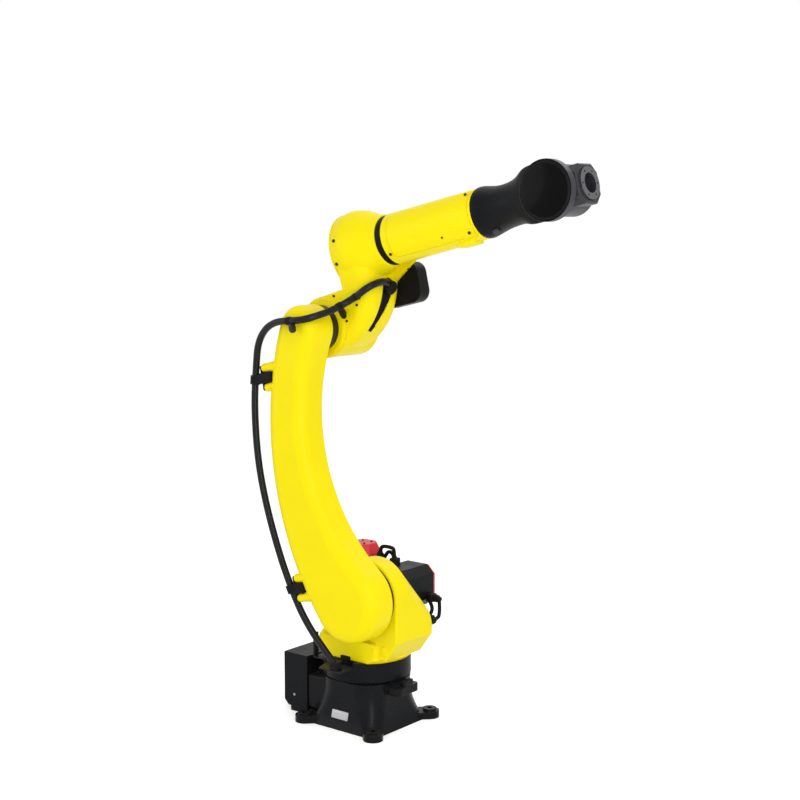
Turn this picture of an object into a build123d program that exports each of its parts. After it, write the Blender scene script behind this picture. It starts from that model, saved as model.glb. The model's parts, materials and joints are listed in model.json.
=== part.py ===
from build123d import *
import math
import os

# Six-axis floor-mounted industrial robot arm with a hollow wrist, in millimetres.
# Origin: on the swivel axis, on the floor face of the base.
# +X is the way the arm reaches, +Y its left, +Z up.
# The arm is modelled as it stands: upper arm leaning back, forearm pitched up.

# Kinematics
shoulder_reach = 75.0
shoulder_height = 425.0
upper_arm_length = 840.0
elbow_offset = 215.0
forearm_length = 890.0
flange_reach = 90.0
arm_lean = 12.6
forearm_pitch = 13.2

# Clearances
seat_gap = 0.3
running_gap = 6.0

# Base
base_width = 343.0
base_height = 150.0
base_body_low_width = 286.0
base_body_mid_width = 250.0
base_body_top_width = 244.0
base_body_low_radius = 50.0
base_body_mid_radius = 62.0
base_body_top_radius = 86.0
base_mid_height = 52.0
foot_radius = 31.0
foot_thickness = 22.0
foot_boss_radius = 22.0
foot_boss_height = 7.0
base_hole_radius = 9.0
base_neck_width = 190.0
base_neck_low = 26.0
base_neck_drop = 14.0
base_neck_radius = 10.0
stop_shelf_width = 104.0
stop_shelf_reach = 170.0
stop_shelf_thickness = 24.0
stop_shelf_drop = 10.0
stop_shelf_radius = 16.0
stop_post_width = 46.0
stop_post_depth = 16.0
stop_post_rise = 8.0
stop_post_radius = 7.0
swivel_bearing_radius = 112.0

# Connector box behind the base
box_front = -168.0
box_depth = 98.0
box_width = 200.0
box_low = 18.0
box_height = 176.0
box_chamfer = 18.0
box_edge_radius = 4.0
panel_thickness = 4.0
panel_margin = 12.0
plug_width = 74.0
plug_height = 34.0
plug_depth = 20.0
plug_pitch = 52.0
plug_edge_radius = 3.0
air_port_radius = 9.0
air_port_length = 16.0
air_port_pitch = 56.0

# Swivel ring and turret
ring_radius = 138.0
ring_height = 64.0
ring_edge = 4.0
drum_radius = 152.0
drum_flare_height = 12.0
drum_height = 66.0
drum_edge_radius = 14.0
drum_flat = -106.0
shoulder_radius = 118.0
shoulder_face = -91.0
wall_inner_face = -30.0
wall_edge_radius = 8.0
block_left_face = 84.0
block_top_radius = 84.0
block_top_share = 0.473
block_heel_share = 0.341
block_rear_shift = 66.0
turret_foot_rear = -122.0
turret_foot_front = 146.0
turret_foot_lift = 12.0
turret_chin_share = 0.37
turret_heel_share = 0.215

# Shoulder and elbow reducers, seen as the dark rings in the joint gaps
shoulder_reducer_radius = 108.0
elbow_reducer_radius = 70.0
arm_inner_face = -113.0
elbow_boss_face = -86.0

# Upper arm
shoulder_hub_radius = 124.0
elbow_hub_radius = 74.0
arm_thickness = 102.0
arm_rear_radius = 1000.0
arm_front_radius = 600.0
arm_outer_round = 38.0
arm_inner_round = 6.0

# Clamp bosses on the rear of the upper arm
boss_radius = 11.0
boss_reach = 5.0
boss_sink = 40.0
boss_spread = 62.0
boss_inset = 12.0
low_boss_height = 62.0
high_boss_drop = 122.0

# Elbow casting, in the forearm's own direction from the elbow axis
elbow_drum_radius = 94.0
elbow_drum_left = 86.0
elbow_drum_step = 12.0
elbow_drum_round = 10.0
elbow_boss_radius = 86.0
roll_housing_rear = 104.0
roll_housing_front = 262.0
roll_housing_half_width = 106.0
roll_housing_half_height = 117.0
roll_neck_radius = 78.0
web_arc_radius = 213.0
web_arc_height = 130.0
web_right = -66.0
web_left = 78.0
web_crown_right = -96.0
web_crown_left = 92.0
web_rear_reach = 110.0
web_rear_height = 98.0
web_crown_reach = 12.0
web_crown_drop = 2.0
web_front_round = 44.0
rear_cover_inset = 2.0
rear_cover_thickness = 8.0
rear_cover_bore = 46.0
roll_band_radius = 76.0
roll_band_length = 23.7

# Stations of the roll housing from rear to front, with the swell of its width and its height over the neck
roll_housing_shares = [
    (0.0, 0.75, 0.93),
    (0.2, 1.0, 1.0),
    (0.4, 0.98, 0.93),
    (0.525, 0.84, 0.80),
    (0.645, 0.62, 0.60),
    (0.755, 0.36, 0.35),
    (0.875, 0.17, 0.16),
    (1.0, 0.0, 0.0),
]

# Cable slot in the front wall of the elbow, on a plane that touches the wall halfway along the slot
slot_angle = -29.6
slot_head_radius = 25.0
slot_head_left = 15.0
slot_head_rise = 62.0
slot_tail_radius = 8.0
slot_tail_left = -19.0
slot_tail_drop = 75.0
slot_depth = 14.0
slot_seal_thickness = 3.0
fitting_inset = 2.5
fitting_rise = 11.0
fitting_round = 8.0

# Motor cover on the left of the elbow, and the lip of the casting over it
cover_rear = 112.0
cover_front = 278.0
cover_low = 24.0
cover_top = 150.0
cover_left = 130.0
cover_round = 36.0
cover_edge_radius = 10.0
lip_right = 62.0
lip_rear = 150.0
lip_front = 297.0
lip_low = 74.0
lip_front_low = 154.0
lip_top = 178.0

# Forearm
forearm_radius = 78.0
forearm_front_radius = 74.0
wrist_length = 270.0
side_cover_rear_inset = 26.0
side_cover_front_inset = 9.0
side_cover_height = 124.0
side_cover_thickness = 3.0

# Wrist housing
wrist_fork = 116.0
pod_radius = 84.0
pod_inner_face = -62.0
pod_outer_face = -94.0
pod_edge_radius = 12.0
pod_cap_radius = 73.0
pod_cap_rim = 2.5
pod_cap_rise = 6.0

# Stations along the wrist housing, as shares of its length, with half width and half height as shares of the
# forearm's front radius and the place of the section's middle as a share of the pod's outer face
wrist_housing_shares = [
    (0.0, 1.0, 1.0, 0.0),
    (0.148, 0.93, 0.94, 0.01),
    (0.296, 0.85, 0.855, 0.05),
    (0.48, 0.70, 0.86, 0.235),
    (0.63, 0.46, 0.95, 0.53),
    (0.71, 0.325, 1.03, 0.70),
    (0.85, 0.223, 1.09, 0.82),
    (0.963, 0.21, 1.115, 0.83),
]

# Wrist and tool flange
wrist_hub_radius = 72.0
wrist_half_width = 56.0
wrist_hub_round = 6.0
wrist_bearing_radius = 48.0
nose_width = 112.0
nose_corner = 24.0
nose_front = 84.0
nose_edge = 4.0
tool_bore_radius = 28.5
wrist_bore_radius = 30.0
wrist_bore_depth = 64.0
flange_radius = 46.0
flange_seat_depth = 12.0
flange_bolt_circle = 74.0
flange_bolt_count = 6
flange_bolt_radius = 3.4

# Motors
motor_pocket_gap = 3.0
motor_width = 130.0
motor_corner = 26.0
shoulder_motor_left = 160.0
swivel_motor_x = -84.0
swivel_motor_y = 82.0
swivel_motor_rise = 79.0
swivel_motor_width = 116.0
motor_cap_length = 12.0
motor_cap_margin = 4.0
swivel_cap_skirt = 8.0
swivel_cap_length = 43.0
swivel_cap_top_width = 76.0
swivel_cap_top_corner = 18.0

# Motor connectors with their cable loops
connector_width = 30.0
connector_depth = 24.0
connector_edge_radius = 5.0
cable_radius = 5.0
cable_bend = 16.0
shoulder_plug_inset = 26.0
shoulder_plug_drop = 33.0
shoulder_cable_reach = 42.0
shoulder_cable_drop = 64.0
swivel_plug_drop = 19.0
swivel_cable_rise = 36.0
swivel_cable_inset = 31.0

# Conduit. It climbs the rear of the upper arm at shares of the arm's length, each with its distance
# from the arm, turns over the elbow hub and crosses to the elbow casting.
# Places round the elbow are x, y, z from its axis.
conduit_radius = 11.0
conduit_clearance = 0.4
conduit_bend_share = 0.45
conduit_step_share = 0.01
conduit_search_steps = 30
anchor_x = 16.0
anchor_y = -170.0
anchor_bow = 8.0
anchor_bow_share = 0.44
conduit_inset = 8.0
conduit_entry = (-172.0, -203.0, -28.0)
conduit_climb_shares = [0.071, 0.202, 0.393, 0.571, 0.762, 0.887]
conduit_standoffs = [41.0, 39.0, 42.0, 50.0, 57.0, 61.0]
conduit_crest = [(-150.0, -216.0, -2.0), (-64.0, -232.0, 40.0)]
conduit_crossing = [
    (46.0, -233.0, 22.0),
    (86.0, -204.0, 25.0),
    (110.0, -153.0, 36.0),
    (132.0, -109.0, 52.0),
    (168.0, -94.0, 66.0),
    (200.0, -93.0, 78.0),
    (220.0, -78.0, 88.0),
    (228.0, -48.0, 95.0),
    (226.0, -16.0, 97.0),
    (217.0, 8.0, 86.0),
]
clamp_wall = 5.0
clamp_length = 26.0
clamp_plate_thickness = 6.0
clamp_plate_margin = 3.0
clamp_web_width = 18.0
top_clip_rear = -12.0
top_clip_width = 28.0
top_clip_reach = 33.0
top_clip_low = -8.0
top_clip_height = 52.0
top_clip_round = 7.0
elbow_clip_place = 164.0
elbow_clip_width = 26.0
elbow_clip_height = 36.0
elbow_clip_right = -108.0

# Conduit bracket on the right of the swivel ring
bracket_rise = 44.0
bracket_thickness = 4.0
bracket_inner_radius = 116.0
bracket_rear = -134.0
bracket_front = 48.0
bracket_right = -186.0
bracket_heel = -68.0
bracket_toe = -40.0
bracket_side = -107.0
bracket_left = -70.0
bracket_leg_depth = 5.0
bracket_leg_width = 20.0
bracket_leg_height = 76.0
anchor_width = 30.0
anchor_depth = 27.0
anchor_height = 27.0
anchor_seat = 14.0

# Places that follow from the sizes above
swivel_ring_low = base_height + running_gap
turret_low = swivel_ring_low + ring_height
turret_rise = shoulder_height - turret_low
swivel_motor_low = turret_low + drum_height
swivel_motor_top = shoulder_height + swivel_motor_rise
bracket_height = swivel_ring_low + bracket_rise
bracket_top = bracket_height + bracket_thickness
arm_outer_face = arm_inner_face - arm_thickness
high_boss_height = upper_arm_length - high_boss_drop
forearm_rear = roll_housing_front + roll_band_length + seat_gap
forearm_front = forearm_length - wrist_length
elbow_x = shoulder_reach - upper_arm_length * math.sin(math.radians(arm_lean))
elbow_z = shoulder_height + upper_arm_length * math.cos(math.radians(arm_lean))
arm_frame = Pos(shoulder_reach, 0, shoulder_height) * Rot(0, -arm_lean, 0)
elbow_frame = Pos(elbow_x, 0, elbow_z) * Rot(0, -forearm_pitch, 0)
wrist_frame = elbow_frame * Pos(forearm_length, 0, elbow_offset)


def along_y(sketch, right, left):
    """A sketch of X and Z, extruded from y = right to y = left."""
    return extrude(Plane.XZ.offset(-left) * sketch, left - right, dir=(0, -1, 0))


def along_x(sketch, rear, front):
    """A sketch of Y and Z, extruded from x = rear to x = front."""
    return extrude(Plane.YZ.offset(rear) * sketch, front - rear, dir=(1, 0, 0))


def along_z(sketch, low, top):
    """A sketch of X and Y, extruded from z = low to z = top."""
    return extrude(Plane.XY.offset(low) * sketch, top - low, dir=(0, 0, 1))


def chamfered_square(width, corner):
    return chamfer(Rectangle(width, width).vertices(), corner)


def base_casting():
    """Flared body on four foot lugs, with the neck for the connector box and the swivel stop."""
    sections = [
        (0, base_body_low_width, base_body_low_radius),
        (base_mid_height, base_body_mid_width, base_body_mid_radius),
        (base_height, base_body_top_width, base_body_top_radius),
    ]
    body = loft([Plane.XY.offset(z) * RectangleRounded(w, w, r) for z, w, r in sections])
    hole_offset = base_width / 2 - foot_radius
    lug_run = hole_offset * math.sqrt(2)
    lug = extrude(SlotCenterPoint((lug_run / 2, 0), (lug_run, 0), 2 * foot_radius), foot_thickness)
    boss = Pos(lug_run, 0, 0) * extrude(Circle(foot_boss_radius), foot_thickness + foot_boss_height)
    for turn in range(4):
        body += Rot(0, 0, 45 + 90 * turn) * (lug + boss)
    neck_top = base_height - base_neck_drop
    neck_sketch = RectangleRounded(base_neck_width, neck_top - base_neck_low, base_neck_radius)
    neck = along_x(Pos(0, (neck_top + base_neck_low) / 2) * neck_sketch, box_front, 0)
    shelf_top = base_height - stop_shelf_drop
    shelf_sketch = RectangleRounded(stop_shelf_reach, stop_shelf_width, stop_shelf_radius)
    shelf_low = shelf_top - stop_shelf_thickness
    shelf = along_z(Pos(stop_shelf_reach / 2, 0) * shelf_sketch, shelf_low, shelf_top)
    post_sketch = RectangleRounded(stop_post_depth, stop_post_width, stop_post_radius)
    post_x = stop_shelf_reach - stop_post_depth / 2
    post = along_z(Pos(post_x, 0) * post_sketch, shelf_low, base_height + stop_post_rise)
    body = body + neck + shelf + post
    bores = [
        Pos(x, y, 0) * extrude(Circle(base_hole_radius), foot_thickness + foot_boss_height)
        for x in (-hole_offset, hole_offset)
        for y in (-hole_offset, hole_offset)
    ]
    return body - bores


def connector_box():
    side = Pos(0, box_low + box_height / 2) * Rectangle(box_width, box_height)
    box = along_x(side, box_front - box_depth, box_front)
    low_rear = box.edges().filter_by(Axis.Y).sort_by(Axis.Z)[:2].sort_by(Axis.X)[0]
    box = chamfer(low_rear, box_chamfer)
    return fillet(box.edges().filter_by(Axis.X), box_edge_radius)


def connector_panel():
    """Rear plate with two multi-pole plug shells and two air ports."""
    rear = box_front - box_depth
    outer = rear - panel_thickness
    height = box_height - box_chamfer - 2 * panel_margin
    middle = box_low + box_chamfer + panel_margin + height / 2
    sheet = RectangleRounded(box_width - 2 * panel_margin, height, panel_margin)
    plate = along_x(Pos(0, middle) * sheet, outer, rear)
    shell = RectangleRounded(plug_width, plug_height, plug_edge_radius)
    for step in (0, 1):
        z = middle + height / 4 - step * plug_pitch
        plate += along_x(Pos(-plug_width / 2, z) * shell, outer - plug_depth, outer)
        plate += along_x(Pos(air_port_pitch, z) * Circle(air_port_radius), outer - air_port_length, outer)
    return plate


def swivel_bearing():
    return along_z(Circle(swivel_bearing_radius), base_height, swivel_ring_low - seat_gap)


def swivel_ring():
    """Ring under the turret, with a ledge for the conduit bracket and a flat beside the laid-back arm."""
    ring = along_z(Circle(ring_radius), swivel_ring_low, turret_low)
    ring = chamfer(ring.edges().group_by(Axis.Z)[0], ring_edge)
    ledge = along_z(bracket_sketch(bracket_inner_radius - seat_gap), bracket_height - seat_gap, turret_low)
    beside_arm = Polygon(
        (-ring_radius, bracket_side),
        (bracket_heel, bracket_side),
        (bracket_toe, bracket_right),
        (-ring_radius, bracket_right),
        align=None,
    )
    return ring - ledge - along_z(beside_arm, swivel_ring_low, turret_low)


def shoulder_outline(radius, centre_x, centre_z, rear, front, heel, chin):
    """Round top over a foot that slopes in under the heel and the chin."""
    foot = turret_low + turret_foot_lift
    crown_rear = (centre_x - radius, centre_z)
    crown_front = (centre_x + radius, centre_z)
    crown = ThreePointArc(crown_rear, (centre_x, centre_z + radius), crown_front)
    below = Polyline(
        crown_front,
        (front, chin),
        (turret_foot_front, foot),
        (rear + turret_foot_lift, foot),
        (rear, heel),
        crown_rear,
    )
    return make_face([crown, *below.edges()])


def turret_casting():
    """Round drum, the shoulder wall on its right and the sloping buttress behind the wall."""
    drum_top = turret_low + drum_height
    profile = Polygon(
        (0, turret_low),
        (ring_radius, turret_low),
        (drum_radius, turret_low + drum_flare_height),
        (drum_radius, drum_top),
        (0, drum_top),
        align=None,
    )
    drum = revolve(Plane.XZ * profile, Axis.Z)
    drum = fillet(drum.edges().group_by(Axis.Z)[-1], drum_edge_radius)
    room = 2 * drum_radius
    drum -= along_y(Pos(0, turret_low) * Rectangle(2 * room, 2 * room), drum_flat - room, drum_flat)
    front = shoulder_reach + shoulder_radius
    chin = turret_low + turret_rise * turret_chin_share
    heel = turret_low + turret_rise * turret_heel_share
    wall_outline = shoulder_outline(
        shoulder_radius, shoulder_reach, shoulder_height, turret_foot_rear, front, heel, chin
    )
    wall = along_y(wall_outline, shoulder_face, wall_inner_face)
    wall = fillet(wall.faces().sort_by(Axis.Y)[0].edges(), wall_edge_radius)
    block_rear = turret_foot_rear + block_rear_shift
    block_middle = turret_low + turret_rise * block_top_share
    block_heel = turret_low + turret_rise * block_heel_share
    block_outline = shoulder_outline(
        block_top_radius, front - block_top_radius, block_middle, block_rear, front, block_heel, chin
    )
    buttress = loft(
        [
            Plane.XZ.offset(-wall_inner_face) * wall_outline,
            Plane.XZ.offset(-block_left_face) * block_outline,
        ],
        ruled=True,
    )
    motor_room = chamfered_square(motor_width + 2 * motor_pocket_gap, motor_corner)
    pocket = along_y(motor_room, wall_inner_face, shoulder_motor_left)
    well_room = chamfered_square(swivel_motor_width + 2 * motor_pocket_gap, motor_corner)
    well = along_z(well_room, swivel_motor_low, swivel_motor_top)
    reducer_room = along_y(Circle(shoulder_reducer_radius + seat_gap), arm_inner_face, shoulder_face)
    casting = drum + wall + buttress
    casting -= Pos(shoulder_reach, 0, shoulder_height) * (pocket + reducer_room)
    return casting - Pos(swivel_motor_x, swivel_motor_y, 0) * well


def shoulder_reducer():
    ring = along_y(Circle(shoulder_reducer_radius), arm_inner_face + seat_gap, shoulder_face)
    return Pos(shoulder_reach, 0, shoulder_height) * ring


def crossing(first, first_reach, second, second_reach):
    """The crossing, on the +X side, of two circles about two points."""
    gap = (second - first).length
    along = (gap**2 + first_reach**2 - second_reach**2) / (2 * gap)
    aside = math.sqrt(first_reach**2 - along**2)
    axis = (second - first).normalized()
    return first + axis * along + Vector(axis.Y, -axis.X) * aside


def arm_rear_centre():
    """Middle of the arc that wraps both hubs on the arm's rear."""
    low_reach = arm_rear_radius - shoulder_hub_radius
    high_reach = arm_rear_radius - elbow_hub_radius
    return crossing(Vector(0, 0), low_reach, Vector(0, upper_arm_length), high_reach)


def arm_outline():
    """Two hubs joined by a rear arc that wraps both and a front arc that hollows between them."""
    low = Vector(0, 0)
    high = Vector(0, upper_arm_length)
    rear_centre = arm_rear_centre()
    low_reach = arm_front_radius + shoulder_hub_radius
    high_reach = arm_front_radius + elbow_hub_radius
    front_centre = crossing(low, low_reach, high, high_reach)
    rear_low = rear_centre + (low - rear_centre).normalized() * arm_rear_radius
    rear_high = rear_centre + (high - rear_centre).normalized() * arm_rear_radius
    front_low = low + (front_centre - low).normalized() * shoulder_hub_radius
    front_high = high + (front_centre - high).normalized() * elbow_hub_radius
    rear_way = ((rear_low + rear_high) / 2 - rear_centre).normalized()
    rear_middle = rear_centre + rear_way * arm_rear_radius
    front_way = ((front_low + front_high) / 2 - front_centre).normalized()
    front_middle = front_centre + front_way * arm_front_radius
    edges = [
        ThreePointArc(rear_low, rear_middle, rear_high),
        ThreePointArc(rear_high, high + Vector(0, elbow_hub_radius), front_high),
        ThreePointArc(front_high, front_middle, front_low),
        ThreePointArc(front_low, Vector(0, -shoulder_hub_radius), rear_low),
    ]
    return make_face(edges)


def rear_edge(height):
    """X of the upper arm's rear surface at a height along the arm."""
    centre = arm_rear_centre()
    return centre.X - math.sqrt(arm_rear_radius**2 - (height - centre.Y) ** 2)


def clamp_span():
    return boss_spread + 2 * (boss_radius - clamp_plate_margin)


def clamp_plane(middle):
    """X of the common face of a pair of clamp bosses."""
    ends = (middle - clamp_span() / 2, middle + clamp_span() / 2)
    return min(rear_edge(height) for height in ends) - boss_reach


def upper_arm_casting():
    arm = along_y(arm_outline(), arm_outer_face, arm_inner_face)
    arm = fillet(arm.faces().sort_by(Axis.Y)[0].edges(), arm_outer_round)
    arm = fillet(arm.faces().sort_by(Axis.Y)[-1].edges(), arm_inner_round)
    for middle in (low_boss_height, high_boss_height):
        for height in (middle - boss_spread / 2, middle + boss_spread / 2):
            boss = Pos(arm_outer_face + boss_inset, height) * Circle(boss_radius)
            arm += along_x(boss, clamp_plane(middle), rear_edge(height) + boss_sink)
    return arm_frame * arm


def elbow_reducer():
    return elbow_frame * along_y(Circle(elbow_reducer_radius), arm_inner_face + seat_gap, elbow_boss_face)


def forearm_section(station, sketch):
    return Plane.YZ.offset(station) * Pos(0, elbow_offset) * sketch


def roll_housing_outline(wide, tall, inset):
    half_width = roll_neck_radius + wide * (roll_housing_half_width - roll_neck_radius)
    half_height = roll_neck_radius + tall * (roll_housing_half_height - roll_neck_radius)
    return Ellipse(half_width - inset, half_height - inset)


def roll_housing():
    """Swelling housing on the forearm axis, wider and taller than the neck that it runs out to."""
    sections = []
    for along, wide, tall in roll_housing_shares:
        station = roll_housing_rear + along * (roll_housing_front - roll_housing_rear)
        sections.append(forearm_section(station, roll_housing_outline(wide, tall, 0)))
    return loft(sections)


def elbow_web():
    """Web with a curved front wall that widens from the drum to the roll housing."""
    front = Pos(0, web_arc_height) * Circle(web_arc_radius)
    reach = 2 * web_arc_radius
    side_outline = front & Polygon(
        (0, -elbow_drum_radius),
        (reach, -elbow_drum_radius),
        (reach, elbow_offset),
        (web_rear_reach, elbow_offset),
        (web_rear_reach, web_rear_height),
        (web_crown_reach, elbow_drum_radius - web_crown_drop),
        (0, 0),
        align=None,
    )
    end_outline = Polygon(
        (web_right, -elbow_drum_radius),
        (web_left, -elbow_drum_radius),
        (web_crown_left, elbow_offset),
        (web_crown_right, elbow_offset),
        align=None,
    )
    web = along_y(side_outline, -reach, reach) & along_x(end_outline, 0, web_arc_radius)
    front_face = web.faces().filter_by(GeomType.CYLINDER).sort_by(SortBy.AREA)[-1]
    rims = [edge for edge in front_face.edges() if abs(edge.center().Y) > slot_head_radius]
    return fillet(rims, web_front_round)


def slot_plane():
    turn = math.radians(slot_angle)
    outward = Vector(math.cos(turn), 0, math.sin(turn))
    return Plane(Vector(0, 0, web_arc_height) + outward * web_arc_radius, x_dir=(0, 1, 0), z_dir=outward)


def slot_prism(inset):
    """Comma outline of the cable slot, drawn straight through the front wall."""
    head = Pos(slot_head_left, slot_head_rise) * Circle(slot_head_radius - inset)
    tail = Pos(slot_tail_left, -slot_tail_drop) * Circle(slot_tail_radius - inset)
    outline = make_hull((head + tail).edges())
    return extrude(slot_plane() * outline, slot_head_rise, both=True)


def wall_core(depth):
    """What lies behind the front wall by a depth."""
    core = Pos(0, web_arc_height) * Circle(web_arc_radius - depth)
    return along_y(core, -web_arc_radius, web_arc_radius)


def elbow_casting():
    """Drum on the elbow axis, roll housing on the forearm axis and the web that carries one on the other."""
    boss = along_y(Circle(elbow_boss_radius), elbow_boss_face, elbow_boss_face + elbow_drum_step)
    drum = along_y(Circle(elbow_drum_radius), elbow_boss_face + elbow_drum_step, elbow_drum_left)
    drum = fillet(drum.faces().sort_by(Axis.Y)[-1].edges(), elbow_drum_round)
    lip_outline = Polygon(
        (lip_rear, lip_low),
        (lip_front, lip_front_low),
        (lip_front, lip_top),
        (lip_rear, lip_top),
        align=None,
    )
    lip = along_y(lip_outline, lip_right, web_left)
    forearm_room = forearm_radius + side_cover_thickness + running_gap
    lip -= along_x(Pos(0, elbow_offset) * Circle(forearm_room), lip_rear, lip_front)
    casting = drum + elbow_web() + roll_housing() + boss + lip
    return elbow_frame * (casting - (slot_prism(0) - wall_core(slot_depth)))


def elbow_rear_cover():
    wide, tall = roll_housing_shares[0][1:]
    ring = roll_housing_outline(wide, tall, rear_cover_inset) - Circle(rear_cover_bore)
    front = roll_housing_rear
    return elbow_frame * along_x(Pos(0, elbow_offset) * ring, front - rear_cover_thickness, front)


def roll_band():
    band = Pos(0, elbow_offset) * Circle(roll_band_radius)
    return elbow_frame * along_x(band, roll_housing_front, roll_housing_front + roll_band_length)


def motor_cover():
    middle = Pos((cover_rear + cover_front) / 2, (cover_low + cover_top) / 2)
    outline = RectangleRounded(cover_front - cover_rear, cover_top - cover_low, cover_round)
    cover = along_y(middle * outline, web_left, cover_left)
    cover = fillet(cover.faces().sort_by(Axis.Y)[-1].edges(), cover_edge_radius)
    return elbow_frame * cover - elbow_casting()


def forearm_tube():
    rear = forearm_section(forearm_rear, Circle(forearm_radius))
    front = forearm_section(forearm_front, Circle(forearm_front_radius))
    return elbow_frame * loft([rear, front], ruled=True)


def side_cover(side):
    """Curved access cover lying on one flank of the forearm tube."""
    taper = (forearm_front_radius - forearm_radius) / (forearm_front - forearm_rear)
    sections = []
    for station in (forearm_rear + side_cover_rear_inset, forearm_front - side_cover_front_inset):
        inner = forearm_radius + taper * (station - forearm_rear) + seat_gap
        outer = inner + side_cover_thickness
        flank = Pos(side * outer / 2, 0) * Rectangle(outer, side_cover_height)
        sections.append(forearm_section(station, (Circle(outer) - Circle(inner)) & flank))
    return elbow_frame * loft(sections, ruled=True)


def side_cover_right():
    return side_cover(-1)


def side_cover_left():
    return side_cover(1)


def wrist_housing():
    """Neck that sweeps from the forearm to the pod beside the wrist, clear of the wrist's swing."""
    sections = []
    rear = forearm_front + seat_gap
    for along, wide, tall, right in wrist_housing_shares:
        section = Ellipse(wide * forearm_front_radius, tall * forearm_front_radius)
        place = Pos(right * pod_outer_face, 0)
        sections.append(forearm_section(rear + along * (forearm_length - rear), place * section))
    neck = loft(sections)
    pod = along_y(Pos(forearm_length, elbow_offset) * Circle(pod_radius), pod_outer_face, pod_inner_face)
    pod = fillet(pod.faces().sort_by(Axis.Y)[0].edges(), pod_edge_radius)
    fork = along_y(Pos(forearm_length, elbow_offset) * Circle(wrist_fork), pod_inner_face, wrist_fork)
    return elbow_frame * (neck - fork + pod)


def wrist_pod_cap():
    """Shallow dome on the outer face of the pod."""
    reach = pod_cap_rim + pod_cap_rise
    dome_radius = (pod_cap_radius**2 + pod_cap_rise**2) / (2 * pod_cap_rise)
    disc = along_y(Circle(pod_cap_radius), pod_outer_face - reach, pod_outer_face)
    dome = Pos(0, pod_outer_face - reach + dome_radius, 0) * Sphere(dome_radius)
    return wrist_frame * (disc & dome)


def wrist_bearing():
    return wrist_frame * along_y(Circle(wrist_bearing_radius), pod_inner_face, -wrist_half_width - seat_gap)


def wrist_body():
    """Hub on the bend axis with the square nose that the tool flange is let into, bored for the hoses."""
    hub = along_y(Circle(wrist_hub_radius), -wrist_half_width, wrist_half_width)
    hub = fillet(hub.edges().filter_by(GeomType.CIRCLE), wrist_hub_round)
    nose = along_x(chamfered_square(nose_width, nose_corner), 0, nose_front)
    nose = chamfer(nose.faces().sort_by(Axis.X)[-1].edges(), nose_edge)
    seat = along_x(Circle(flange_radius + seat_gap), nose_front - flange_seat_depth, nose_front)
    bore = along_x(Circle(wrist_bore_radius), nose_front - wrist_bore_depth, nose_front)
    return wrist_frame * (hub + nose - seat - bore)


def tool_flange():
    rear = nose_front - flange_seat_depth + seat_gap
    disc = along_x(Circle(flange_radius) - Circle(tool_bore_radius), rear, flange_reach)
    holes = [
        along_x(place * Circle(flange_bolt_radius), rear, flange_reach)
        for place in PolarLocations(flange_bolt_circle / 2, flange_bolt_count)
    ]
    return wrist_frame * (disc - holes)


def shoulder_motor():
    body = along_y(chamfered_square(motor_width, motor_corner), wall_inner_face, shoulder_motor_left)
    return Pos(shoulder_reach, 0, shoulder_height) * body


def shoulder_motor_cap():
    face = chamfered_square(motor_width - 2 * motor_cap_margin, motor_corner)
    body = along_y(face, shoulder_motor_left, shoulder_motor_left + motor_cap_length)
    return Pos(shoulder_reach, 0, shoulder_height) * body


def swivel_motor():
    body = along_z(chamfered_square(swivel_motor_width, motor_corner), swivel_motor_low, swivel_motor_top)
    return Pos(swivel_motor_x, swivel_motor_y, 0) * body


def swivel_motor_cap():
    """Cap with a straight skirt under a taper."""
    low = chamfered_square(swivel_motor_width - 2 * motor_cap_margin, motor_corner)
    high = chamfered_square(swivel_cap_top_width, swivel_cap_top_corner)
    skirt_top = swivel_motor_top + swivel_cap_skirt
    cap_top = swivel_motor_top + swivel_cap_length
    skirt = along_z(low, swivel_motor_top, skirt_top)
    taper = loft([Plane.XY.offset(skirt_top) * low, Plane.XY.offset(cap_top) * high], ruled=True)
    return Pos(swivel_motor_x, swivel_motor_y, 0) * (skirt + taper)


def tube(path, radius):
    """Round bar along a path of straight runs and tangent bends."""
    return sweep(Plane(path @ 0, z_dir=path % 0) * Circle(radius), path=path)


def shoulder_motor_plug():
    face = shoulder_reach + motor_width / 2
    y = shoulder_motor_left - shoulder_plug_inset
    z = shoulder_height - shoulder_plug_drop
    shell = RectangleRounded(connector_width, connector_width, connector_edge_radius)
    block = along_x(Pos(y, z) * shell, face, face + connector_depth)
    far = face + shoulder_cable_reach
    low = z - shoulder_cable_drop
    near = face + connector_depth / 2
    route = [(near, y, z), (far, y, z), (far, y, low), (far, block_left_face + seat_gap, low)]
    return block + tube(FilletPolyline(*route, radius=cable_bend), cable_radius)


def swivel_motor_plug():
    face = swivel_motor_x + swivel_motor_width / 2
    y = swivel_motor_y
    z = swivel_motor_top - swivel_plug_drop
    shell = RectangleRounded(connector_width, connector_width, connector_edge_radius)
    block = along_x(Pos(y, z) * shell, face, face + connector_depth)
    near = face + connector_depth / 2
    far = shoulder_reach - swivel_cable_inset
    high = swivel_motor_top + swivel_cable_rise
    motor_top = shoulder_height + motor_width / 2
    route = [(near, y, z), (near, y, high), (far, y, high), (far, y, motor_top + seat_gap)]
    return block + tube(FilletPolyline(*route, radius=cable_bend), cable_radius)


def in_frame(frame, point):
    return (frame * Pos(*point)).position


def seen_from(frame, point):
    return (frame.inverse() * Pos(*point)).position


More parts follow.
